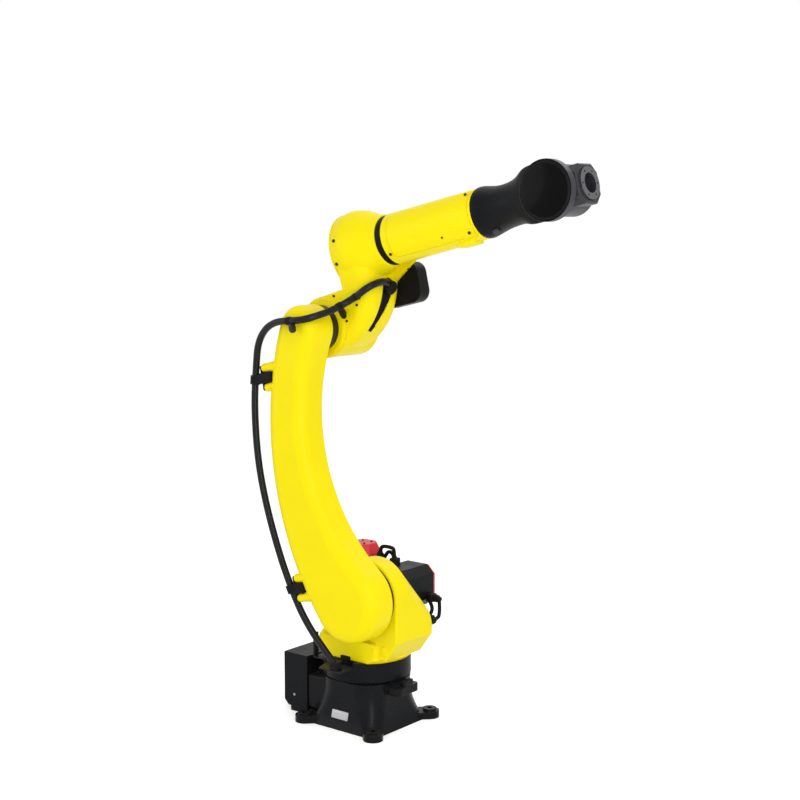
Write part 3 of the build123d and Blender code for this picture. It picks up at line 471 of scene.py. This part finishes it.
def screwNodes():
    tree = bpy.data.node_groups.new("screwsOnSeats", "GeometryNodeTree")
    tree.interface.new_socket("Seats", in_out="INPUT", socket_type="NodeSocketGeometry")
    for label in ("Head Height", "Chamfer", "Socket Width", "Socket Depth"):
        tree.interface.new_socket(label, in_out="INPUT", socket_type="NodeSocketFloat")
    tree.interface.new_socket("Sides", in_out="INPUT", socket_type="NodeSocketInt")
    tree.interface.new_socket("Finish", in_out="INPUT", socket_type="NodeSocketMaterial")
    tree.interface.new_socket("Screws", in_out="OUTPUT", socket_type="NodeSocketGeometry")
    inlet = addNode(tree, "NodeGroupInput")
    outlet = addNode(tree, "NodeGroupOutput")
    head = addNode(tree, "GeometryNodeMeshCylinder", fill_type="NGON")
    head.inputs["Radius"].default_value = 1.0
    link(tree, inlet, "Sides", head, "Vertices")
    link(tree, inlet, "Head Height", head, "Depth")
    raised = addNode(tree, "ShaderNodeMath", operation="MULTIPLY")
    raised.inputs[1].default_value = 0.4  # the foot of the head sinks a little into its seat
    link(tree, inlet, "Head Height", raised, 0)
    rise = addNode(tree, "ShaderNodeCombineXYZ")
    link(tree, raised, 0, rise, "Z")
    lift = addNode(tree, "GeometryNodeTransform")
    link(tree, head, "Mesh", lift, "Geometry")
    link(tree, rise, "Vector", lift, "Translation")
    crown = addNode(tree, "GeometryNodeExtrudeMesh", mode="FACES")
    link(tree, lift, "Geometry", crown, "Mesh")
    link(tree, head, "Top", crown, "Selection")
    link(tree, inlet, "Chamfer", crown, "Offset Scale")
    narrow = addNode(tree, "ShaderNodeMath", operation="SUBTRACT")
    narrow.inputs[0].default_value = 1.0
    link(tree, inlet, "Chamfer", narrow, 1)
    taper = addNode(tree, "GeometryNodeScaleElements", domain="FACE")
    link(tree, crown, "Mesh", taper, "Geometry")
    link(tree, crown, "Top", taper, "Selection")
    link(tree, narrow, 0, taper, "Scale")
    lip = addNode(tree, "GeometryNodeExtrudeMesh", mode="FACES")
    lip.inputs["Offset Scale"].default_value = 0.0
    link(tree, taper, "Geometry", lip, "Mesh")
    link(tree, crown, "Top", lip, "Selection")
    mouth = addNode(tree, "GeometryNodeScaleElements", domain="FACE")
    link(tree, lip, "Mesh", mouth, "Geometry")
    link(tree, lip, "Top", mouth, "Selection")
    link(tree, inlet, "Socket Width", mouth, "Scale")
    deep = addNode(tree, "ShaderNodeMath", operation="MULTIPLY")
    deep.inputs[1].default_value = -1.0
    link(tree, inlet, "Socket Depth", deep, 0)
    socket = addNode(tree, "GeometryNodeExtrudeMesh", mode="FACES")
    link(tree, mouth, "Geometry", socket, "Mesh")
    link(tree, lip, "Top", socket, "Selection")
    link(tree, deep, 0, socket, "Offset Scale")
    aim = addNode(tree, "GeometryNodeInputNamedAttribute", data_type="FLOAT_VECTOR")
    aim.inputs["Name"].default_value = "aim"
    turn = addNode(tree, "FunctionNodeAlignRotationToVector", axis="Z")
    link(tree, aim, "Attribute", turn, "Vector")
    size = addNode(tree, "GeometryNodeInputNamedAttribute", data_type="FLOAT")
    size.inputs["Name"].default_value = "size"
    spots = addNode(tree, "GeometryNodeInstanceOnPoints")
    link(tree, inlet, "Seats", spots, "Points")
    link(tree, socket, "Mesh", spots, "Instance")
    link(tree, turn, "Rotation", spots, "Rotation")
    link(tree, size, "Attribute", spots, "Scale")
    real = addNode(tree, "GeometryNodeRealizeInstances")
    link(tree, spots, "Instances", real, "Geometry")
    dress = addNode(tree, "GeometryNodeSetMaterial")
    link(tree, real, "Geometry", dress, "Geometry")
    link(tree, inlet, "Finish", dress, "Material")
    link(tree, dress, "Geometry", outlet, "Screws")
    return tree


screwTree = screwNodes()
screwInputs = {item.name: item.identifier for item in screwTree.interface.items_tree if item.in_out == "INPUT"}
headForms = {
    "socket": {"Head Height": 0.9, "Chamfer": 0.14, "Socket Width": 0.58, "Socket Depth": 0.5, "Sides": 20},
    "hex": {"Head Height": 1.0, "Chamfer": 0.12, "Socket Width": 0.82, "Socket Depth": 0.05, "Sides": 6},
}


def setScrews(name, body, form, finishName, spots):
    places, normals, radii = zip(*spots)
    mesh = bpy.data.meshes.new(name)
    mesh.from_pydata(places, [], [])
    mesh.attributes.new("aim", "FLOAT_VECTOR", "POINT").data.foreach_set(
        "vector", [value for normal in normals for value in normal])
    mesh.attributes.new("size", "FLOAT", "POINT").data.foreach_set("value", radii)
    piece = bpy.data.objects.new(name, mesh)
    scene.collection.objects.link(piece)
    screws = piece.modifiers.new("screws", "NODES")
    screws.node_group = screwTree
    for label, value in headForms[form].items():
        screws[screwInputs[label]] = value
    screws[screwInputs["Finish"]] = finishes[finishName]
    plain = bpy.data.meshes.new_from_object(piece.evaluated_get(bpy.context.evaluated_depsgraph_get()))
    piece.modifiers.clear()
    piece.data = plain
    bpy.data.meshes.remove(mesh)
    plain.name = name
    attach(piece, body)


def seats(body, radius, rays):
    return [(*seatOn(body, start, aim), radius) for start, aim in rays]


def bothSides(body, radius, rays):
    right = [seatOn(body, start, aim) for start, aim in rays]
    return [(*seat, radius) for seat in right + [mirrored(body, seat) for seat in right]]


def throughPixels(pixels):
    return [throughPixel(*pixel) for pixel in pixels]


def within(low, high, inset):
    return low + inset, high - inset


boxScrews = {"radius": 0.004, "pixels": [(295, 694)], "panelRadius": 0.0035, "inset": 0.007, "from": -0.5}
panelLow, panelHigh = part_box("connector_panel")
setScrews("boxScrews", "base", "socket", "zincPlate",
          bothSides("base", boxScrews["radius"], throughPixels(boxScrews["pixels"]))
          + seats("base", boxScrews["panelRadius"],
                  [(Vector((boxScrews["from"], y, z)), forward)
                   for y in within(panelLow.y, panelHigh.y, boxScrews["inset"])
                   for z in within(panelLow.z, panelHigh.z, boxScrews["inset"])]))
motorScrews = {"radius": 0.004, "inset": 0.022, "from": 0.5}
swivelScrews = {"radius": 0.0035, "inset": 0.036, "from": 0.9}
motorLow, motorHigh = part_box("shoulder_motor_cap")
swivelLow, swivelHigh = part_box("swivel_motor_cap")
setScrews("motorScrews", "turret", "socket", "blackOxide",
          seats("turret", motorScrews["radius"],
                [(Vector((x, motorScrews["from"], z)), -side)
                 for x in within(motorLow.x, motorHigh.x, motorScrews["inset"])
                 for z in within(motorLow.z, motorHigh.z, motorScrews["inset"])])
          + seats("turret", swivelScrews["radius"],
                  [(Vector((x, y, swivelScrews["from"])), -skyward)
                   for x in within(swivelLow.x, swivelHigh.x, swivelScrews["inset"])
                   for y in within(swivelLow.y, swivelHigh.y, swivelScrews["inset"])]))
clampRow = {"left": -0.203, "low": 0.062, "high": 0.718, "spread": 0.031, "from": -0.6, "radius": 0.0065}
for name, height, finishName, slotName in (("lowClampBolts", clampRow["low"], "zincPlate", "bare_steel"),
                                           ("highClampBolts", clampRow["high"], "blackOxide", "dark_steel")):
    setScrews(name, "upper_arm", "hex", finishName,
              seats("upper_arm", clampRow["radius"],
                    [(onArm(clampRow["from"], clampRow["left"], height + step), armAhead)
                     for step in (-clampRow["spread"], clampRow["spread"])]))
coverRing = {"count": 8, "across": 0.085, "tall": 0.097, "middle": 0.215, "from": -0.3, "radius": 0.0050}
setScrews("coverScrews", "elbow", "socket", "blackOxide",
          seats("elbow", coverRing["radius"],
                [(onElbow(coverRing["from"], coverRing["across"] * math.cos(turn),
                          coverRing["middle"] + coverRing["tall"] * math.sin(turn)), elbowAhead)
                 for turn in turns(coverRing["count"], 0.5)]))
elbowScrews = {"right": {"radius": 0.0038, "pixels": [(347, 321), (357, 305), (334, 296), (408, 269)]},
               "both": {"radius": 0.0050, "pixels": [(334, 241), (337, 264)]},
               "left": {"radius": 0.0035, "ahead": (0.135, 0.255), "up": (0.050, 0.125), "from": 0.4}}
setScrews("elbowScrews", "elbow", "socket", "blackOxide",
          seats("elbow", elbowScrews["right"]["radius"], throughPixels(elbowScrews["right"]["pixels"]))
          + bothSides("elbow", elbowScrews["both"]["radius"], throughPixels(elbowScrews["both"]["pixels"]))
          + seats("elbow", elbowScrews["left"]["radius"],
                  [(onElbow(x, elbowScrews["left"]["from"], z), -side)
                   for x in elbowScrews["left"]["ahead"] for z in elbowScrews["left"]["up"]]))
forearmScrews = {"radius": 0.0045, "pixels": [(465.5, 195), (469.5, 232.5)], "rear": (0.300, -0.5, 0.166),
                 "smallRadius": 0.0030, "smallPixels": [(442, 237.5)]}
setScrews("forearmScrews", "forearm", "socket", "blackOxide",
          bothSides("forearm", forearmScrews["radius"],
                    throughPixels(forearmScrews["pixels"]) + [(onElbow(*forearmScrews["rear"]), side)])
          + bothSides("forearm", forearmScrews["smallRadius"], throughPixels(forearmScrews["smallPixels"])))
print("screws set")


# mesh builders: each adds one closed form to a shape

cornerSteps = 5
sharpAngle = math.radians(38.0)


def addForm(shape, form):
    mesh = bpy.data.meshes.new("form")
    form.to_mesh(mesh)
    form.free()
    shape.from_mesh(mesh)
    bpy.data.meshes.remove(mesh)


def addPlate(shape, place, normal, spec, upward=skyward):
    up = (upward - normal * upward.dot(normal)).normalized()
    right = up.cross(normal)
    turn = Matrix((right, up, normal)).transposed().to_4x4()
    halfWide, halfTall, corner, sink = spec["wide"] / 2, spec["tall"] / 2, spec["corner"], spec["sink"]
    form = bmesh.new()
    outline = []
    for cornerX, cornerY, start in ((1, 1, 0), (-1, 1, 90), (-1, -1, 180), (1, -1, 270)):
        for k in range(cornerSteps + 1):
            angle = math.radians(start + 90 * k / cornerSteps)
            outline.append(form.verts.new((cornerX * (halfWide - corner) + corner * math.cos(angle),
                                           cornerY * (halfTall - corner) + corner * math.sin(angle), -sink)))
    grown = bmesh.ops.extrude_face_region(form, geom=[form.faces.new(outline)])
    bmesh.ops.translate(form, vec=(0, 0, spec["thick"] + sink),
                        verts=[item for item in grown["geom"] if isinstance(item, bmesh.types.BMVert)])
    bmesh.ops.recalc_face_normals(form, faces=form.faces)
    top = [edge for edge in form.edges if all(vertex.co.z > spec["thick"] - 1e-6 for vertex in edge.verts)]
    bmesh.ops.bevel(form, geom=top, offset=spec["round"], segments=3, affect="EDGES", profile=0.5)
    bmesh.ops.transform(form, matrix=Matrix.Translation(place) @ turn, verts=form.verts)
    addForm(shape, form)


def addBlock(shape, middle, axes, sizes, rounding):
    form = bmesh.new()
    bmesh.ops.create_cube(form, size=1.0)
    bmesh.ops.scale(form, vec=sizes, verts=form.verts)
    bmesh.ops.bevel(form, geom=form.edges[:], offset=rounding, segments=4, affect="EDGES", profile=0.5)
    turn = Matrix(axes).transposed().to_4x4()
    bmesh.ops.transform(form, matrix=Matrix.Translation(middle) @ turn, verts=form.verts)
    bmesh.ops.recalc_face_normals(form, faces=form.faces)
    addForm(shape, form)


def addRings(shape, form, rings, closed=False):
    pairs = list(zip(rings, rings[1:]))
    if closed:
        pairs.append((rings[-1], rings[0]))
    for ring, following in pairs:
        for k in range(len(ring)):
            after = (k + 1) % len(ring)
            form.faces.new((ring[k], ring[after], following[after], following[k]))
    if not closed:
        form.faces.new(rings[0])
        form.faces.new(rings[-1])
    bmesh.ops.recalc_face_normals(form, faces=form.faces)
    addForm(shape, form)


def addTurned(shape, foot, axis, profile, closed=False, sides=28):
    across = axis.orthogonal().normalized()
    other = axis.cross(across)
    form = bmesh.new()
    rings = [[form.verts.new(foot + axis * along + radius * (across * math.cos(turn) + other * math.sin(turn)))
              for turn in turns(sides)] for along, radius in profile]
    addRings(shape, form, rings, closed)


def addSwept(shape, points, outward, widths, height, sides=20):
    form = bmesh.new()
    rings = []
    for point, heading, width in zip(points, headingsOf(points), widths):
        rise = (outward - heading * outward.dot(heading)).normalized()
        over = heading.cross(rise)
        rings.append([form.verts.new(point + over * width * math.cos(turn) + rise * height * math.sin(turn))
                      for turn in turns(sides)])
    addRings(shape, form, rings)


def pieceFrom(shape, name, body, finishName):
    mesh = bpy.data.meshes.new(name)
    for face in shape.faces:
        face.smooth = True
    shape.to_mesh(mesh)
    shape.free()
    mesh.set_sharp_from_angle(angle=sharpAngle)
    mesh.materials.append(finishes[finishName])
    piece = bpy.data.objects.new(name, mesh)
    scene.collection.objects.link(piece)
    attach(piece, body)
    return piece


# raised plates and pads, each on the surface that carries it

def platePiece(name, body, finishName, spec, rays, upward=skyward):
    shape = bmesh.new()
    for ray in rays:
        addPlate(shape, *seatOn(body, *ray), spec, upward)
    pieceFrom(shape, name, body, finishName)


bareBasePlate = {"wide": 0.066, "tall": 0.026, "thick": 0.0012, "corner": 0.002, "round": 0.0004, "sink": 0.004,
                 "pixels": [(340, 715)]}
platePiece("bareBasePlate", "base", "barePlate", bareBasePlate,
           throughPixels(bareBasePlate["pixels"]))
drumBlock = {"wide": 0.036, "tall": 0.016, "thick": 0.006, "corner": 0.002, "round": 0.001, "sink": 0.002,
             "pixels": [(346, 658)]}
platePiece("drumBlock", "turret", "blackMoulding", drumBlock, throughPixels(drumBlock["pixels"]))
turretPads = {"wide": 0.018, "tall": 0.030, "thick": 0.0035, "corner": 0.004, "round": 0.002, "sink": 0.006,
              "pixels": [(375.5, 653), (384, 652)]}
platePiece("turretPads", "turret", "yellowEnamel", turretPads, throughPixels(turretPads["pixels"]))
forearmRest = {"ahead": 0.556, "left": -0.006, "drop": 0.071, "sizes": (0.062, 0.052, 0.022), "round": 0.006}
shape = bmesh.new()
addBlock(shape, onElbow(forearmRest["ahead"], forearmRest["left"], coverRing["middle"] - forearmRest["drop"]),
         (elbowAhead, side, elbowUp), forearmRest["sizes"], forearmRest["round"])
pieceFrom(shape, "forearmRest", "forearm", "yellowEnamel")
boxFeet = {"ahead": -0.194, "aside": 0.083, "sizes": (0.104, 0.024, 0.021), "round": 0.004}
shape = bmesh.new()
for aside in (-boxFeet["aside"], boxFeet["aside"]):  # rubber runners between the connector box and the floor
    addBlock(shape, Vector((boxFeet["ahead"], aside, boxFeet["sizes"][2] / 2)), (forward, side, skyward),
             boxFeet["sizes"], boxFeet["round"])
pieceFrom(shape, "boxFeet", "base", "blackMoulding")
wristTab = {"wide": 0.016, "tall": 0.020, "thick": 0.007, "corner": 0.003, "round": 0.002, "sink": 0.006,
            "from": (0.668, -0.030, -0.3)}
platePiece("wristTab", "forearm", "greyCasting", wristTab, [(onElbow(*wristTab["from"]), elbowUp)],
           elbowAhead)
# painted light: a grey band laid over the black pod's side wall, where that wall catches the lamps
podPaintedLight = {"inner": 0.0836, "outer": 0.0852, "near": -0.0905, "far": -0.0660, "edge": 0.0008, "sides": 96}
bendPlace = Vector(joints["wrist_bend"]["pos_m"])
shape = bmesh.new()
addTurned(shape, bendPlace, side,
          [(podPaintedLight["near"], podPaintedLight["inner"]), (podPaintedLight["near"], podPaintedLight["outer"] - podPaintedLight["edge"]),
           (podPaintedLight["near"] + podPaintedLight["edge"], podPaintedLight["outer"]), (podPaintedLight["far"], podPaintedLight["outer"]),
           (podPaintedLight["far"], podPaintedLight["inner"])], closed=True, sides=podPaintedLight["sides"])
pieceFrom(shape, "podPaintedLight", "forearm", "greyCasting")
print("plates and pads set")


# clips and clamps of the conduit

strap = {"wall": 0.0018, "wide": 0.015, "edge": 0.0006, "bite": 0.0004, "sides": 36}
clipFoot = {"wide": 0.018, "tall": 0.022, "corner": 0.008, "round": 0.002, "sink": 0.004, "lap": 0.003}


def addStrap(shape, index, wide, wall):
    inner, outer = conduit["radius"] - strap["bite"], conduit["radius"] + wall
    half, edge = wide / 2, strap["edge"]
    addTurned(shape, line[index], headings[index],
              [(-half, inner), (-half, outer - edge), (edge - half, outer), (half - edge, outer),
               (half, outer - edge), (half, inner)], closed=True, sides=strap["sides"])


for clip in (
    {"name": "armClip", "body": "upper_arm", "carrier": "upper_arm_casting", "node": "arm_clamp_top",
     "at": middleOf("arm_clamp_top")},
    {"name": "elbowClip", "body": "elbow", "carrier": "elbow_casting", "node": "elbow_clip",
     "at": middleOf("elbow_clip"), "wide": 0.008, "wall": 0.0009},
    {"name": "bossClip", "body": "elbow", "carrier": "elbow_casting", "node": None,
     "at": onElbow(0.118, -0.122, 0.040), "foot": seatOn("elbow", *throughPixel(344, 315))[0]},
):
    index = nearestOnLine(clip["at"])
    place = clip.get("foot") or surfaceOf(clip["carrier"]).find_nearest(line[index])[0]
    gap = (line[index] - place).length
    shape = bmesh.new()
    addStrap(shape, index, clip.get("wide", strap["wide"]), clip.get("wall", strap["wall"]))
    foot = {**clipFoot, "thick": gap - conduit["radius"] + clipFoot["lap"]}
    addPlate(shape, place, (line[index] - place).normalized(), foot)
    piece = pieceFrom(shape, clip["name"], clip["body"], "blackMoulding")
    if clip["node"]:
        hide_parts(clip["node"])
    print(clip["name"], "stands", round(gap, 3), "m from its casting")

armClipEar = {"wide": 0.024, "tall": 0.030, "thick": 0.006, "corner": 0.010, "round": 0.002, "sink": 0.003,
              "pixels": [(292, 328)]}
platePiece("armClipEar", "upper_arm", "blackOxide", armClipEar, throughPixels(armClipEar["pixels"]))

clampBlock = {"tall": 0.034, "deep": 0.026, "round": 0.005, "sink": 0.004}
clampBoss = {"radius": 0.0130, "plate": 0.0064, "beside": -0.188, "sink": 0.016, "edge": 0.001}
armSurface = surfaceOf("upper_arm_casting")
for name, clampNode, height in (("lowClampBlock", "arm_clamp_lower", clampRow["low"]),
                                ("highClampBlock", "arm_clamp_upper", clampRow["high"])):
    rear = armSurface.ray_cast(onArm(clampRow["from"], clampRow["left"], height), armAhead)[0]
    hold = line[nearestOnLine(rear)]
    span = (rear - hold).dot(armAhead) - conduit["radius"] + clampBlock["sink"]
    shape = bmesh.new()
    addBlock(shape, rear + armAhead * (clampBlock["sink"] - span / 2), (armAhead, side, armUp),
             (span, clampBlock["deep"], clampBlock["tall"]), clampBlock["round"])
    pieceFrom(shape, name, "upper_arm", "blackMoulding")
    shape = bmesh.new()
    radius, edge = clampBoss["radius"], clampBoss["edge"]
    for step in (-clampRow["spread"], clampRow["spread"]):
        plate = surfaceOf(clampNode).ray_cast(onArm(clampRow["from"], clampRow["left"], height + step), armAhead)[0]
        tip = plate + armAhead * clampBoss["plate"]
        root = armSurface.ray_cast(onArm(clampRow["from"], clampBoss["beside"], height + step), armAhead)[0]
        length = (root - tip).dot(armAhead) + clampBoss["sink"]
        addTurned(shape, tip, armAhead, [(0.0, radius - edge), (edge, radius), (length, radius + edge)])
    pieceFrom(shape, name.replace("Block", "Bosses"), "upper_arm", "yellowEnamel")
print("clips and clamps set")


# rubber boot in the elbow slot, round the tail of the conduit

slotBoot = {"pixels": ((389, 283), (388, 291), (386, 300), (382, 309), (377.5, 317), (373, 325), (369.2, 331)),
            "widths": (0.021, 0.021, 0.019, 0.016, 0.013, 0.009, 0.005), "height": 0.008}
seatsOfBoot = [seatOn("elbow", *ray) for ray in throughPixels(slotBoot["pixels"])]
bootFace = sum((normal for place, normal in seatsOfBoot), Vector()).normalized()
shape = bmesh.new()
addSwept(shape, [place for place, normal in seatsOfBoot], bootFace, slotBoot["widths"], slotBoot["height"])
pieceFrom(shape, "slotBoot", "elbow", "blackMoulding")
print("slot boot set")


# motor connectors: ribbed plugs and the jumper leads between them

plugProfile = [(0.0, 0.0125), (0.005, 0.0125), (0.006, 0.0110), (0.008, 0.0110), (0.009, 0.0125), (0.013, 0.0125),
               (0.014, 0.0110), (0.016, 0.0110), (0.017, 0.0122), (0.020, 0.0118), (0.026, 0.0080), (0.031, 0.0066)]
motorLeads = [
    {"node": "swivel_motor_plug",
     "blocks": ((-0.014, 0.082, 0.485), (0.044, 0.084, 0.500)),
     "plugs": (((-0.014, 0.082, 0.498), skyward), ((0.044, 0.082, 0.489), skyward)),
     "leads": (((-0.014, 0.082, 0.500), (-0.014, 0.082, 0.538), (0.000, 0.082, 0.545), (0.034, 0.082, 0.545),
                (0.044, 0.082, 0.538), (0.044, 0.082, 0.500)),
               ((-0.014, 0.092, 0.490), (0.002, 0.094, 0.522), (0.018, 0.094, 0.528), (0.032, 0.094, 0.516),
                (0.036, 0.094, 0.488)))},
    {"node": "shoulder_motor_plug",
     "blocks": ((0.152, 0.134, 0.392), (0.172, 0.098, 0.332)),
     "plugs": (((0.158, 0.134, 0.392), forward), ((0.182, 0.086, 0.330), side)),
     "leads": (((0.164, 0.134, 0.392), (0.182, 0.134, 0.392), (0.184, 0.134, 0.376), (0.184, 0.134, 0.344),
                (0.182, 0.128, 0.330), (0.182, 0.092, 0.330)),
               ((0.152, 0.126, 0.380), (0.164, 0.124, 0.366), (0.166, 0.116, 0.348), (0.160, 0.100, 0.340),
                (0.150, 0.086, 0.338)))},
]
plugBlock = {"sizes": (0.024, 0.030, 0.026), "round": 0.004}
leadSize = {"radius": 0.0060, "sides": 14, "steps": 8, "sideways": 0.8}
for lead in motorLeads:
    shape = bmesh.new()
    for middle in lead["blocks"]:
        addBlock(shape, Vector(middle), (forward, side, skyward), plugBlock["sizes"], plugBlock["round"])
    for foot, axis in lead["plugs"]:
        addTurned(shape, Vector(foot), axis, plugProfile)
    for route in lead["leads"]:
        run = readRoute(route, leadSize["steps"])
        outward = side if abs((run[-1] - run[0]).normalized().y) < leadSize["sideways"] else forward
        addSwept(shape, run, outward, [leadSize["radius"]] * len(run), leadSize["radius"], leadSize["sides"])
    piece = pieceFrom(shape, lead["node"] + "_leads", "turret", "blackMoulding")
    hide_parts(lead["node"])
print("motor connectors set")


# light and floor

studio = {"ambient": 0.64, "aim": (0.1, 0.0, 0.9), "lamps": [
    {"name": "key", "place": (3.0, -2.6, 3.9), "size": 2.6, "power": 36.0},
    {"name": "strip", "place": (2.66, -2.15, 1.15), "size": 0.30, "tall": 1.9, "power": 30.0},
    {"name": "fill", "place": (-3.2, -3.6, 2.2), "size": 3.0, "power": 34.0},
    {"name": "top", "place": (0.2, 2.2, 4.4), "size": 3.0, "power": 50.0},
]}
for lamp in studio["lamps"]:
    light = bpy.data.lights.new(lamp["name"], "AREA")
    light.shape = "RECTANGLE" if "tall" in lamp else "DISK"
    light.size = lamp["size"]
    light.size_y = lamp.get("tall", lamp["size"])
    light.energy = lamp["power"]
    holder = bpy.data.objects.new(lamp["name"], light)
    holder.location = lamp["place"]
    holder.rotation_euler = (Vector(lamp["place"]) - Vector(studio["aim"])).to_track_quat("Z", "Y").to_euler()
    holder.visible_camera = False
    scene.collection.objects.link(holder)


def seenRays(tree):
    rays = addNode(tree, "ShaderNodeLightPath")
    seen = addNode(tree, "ShaderNodeMath", operation="MAXIMUM")
    link(tree, rays, "Is Camera Ray", seen, 0)
    link(tree, rays, "Is Transmission Ray", seen, 1)
    seenToo = addNode(tree, "ShaderNodeMath", operation="MAXIMUM")
    link(tree, seen, 0, seenToo, 0)
    link(tree, rays, "Is Glossy Ray", seenToo, 1)
    return seenToo


white = (1.0, 1.0, 1.0, 1.0)
world = bpy.data.worlds.new("studio")
scene.world = world
world.use_nodes = True
tree = world.node_tree
sky = tree.nodes["Background"]
sky.inputs["Color"].default_value = white
link(tree, spread(tree, seenRays(tree), 0, studio["ambient"], 1.0, fromLow=0.0, fromHigh=1.0), "Result",
     sky, "Strength")

floorSheet = {"reach": 14.0, "colour": (0.86, 0.86, 0.86), "roughness": 0.9, "glow": 0.46}
floorMesh = bpy.data.meshes.new("floor")
reach = floorSheet["reach"]
floorMesh.from_pydata([(-reach, -reach, 0), (reach, -reach, 0), (reach, reach, 0), (-reach, reach, 0)], [],
                      [(0, 1, 2, 3)])
floor = bpy.data.objects.new("floor", floorMesh)
scene.collection.objects.link(floor)
paleFloor, tree, shader = newMaterial("paleFloor")
shader.inputs["Base Color"].default_value = (*floorSheet["colour"], 1.0)
shader.inputs["Roughness"].default_value = floorSheet["roughness"]
shader.inputs["Specular IOR Level"].default_value = 0.0
shader.inputs["Emission Color"].default_value = white
link(tree, spread(tree, seenRays(tree), 0, 0.0, floorSheet["glow"], fromLow=0.0, fromHigh=1.0), "Result",
     shader, "Emission Strength")
floorMesh.materials.append(paleFloor)
scene.view_settings.view_transform = "Standard"
print("light and floor ready")
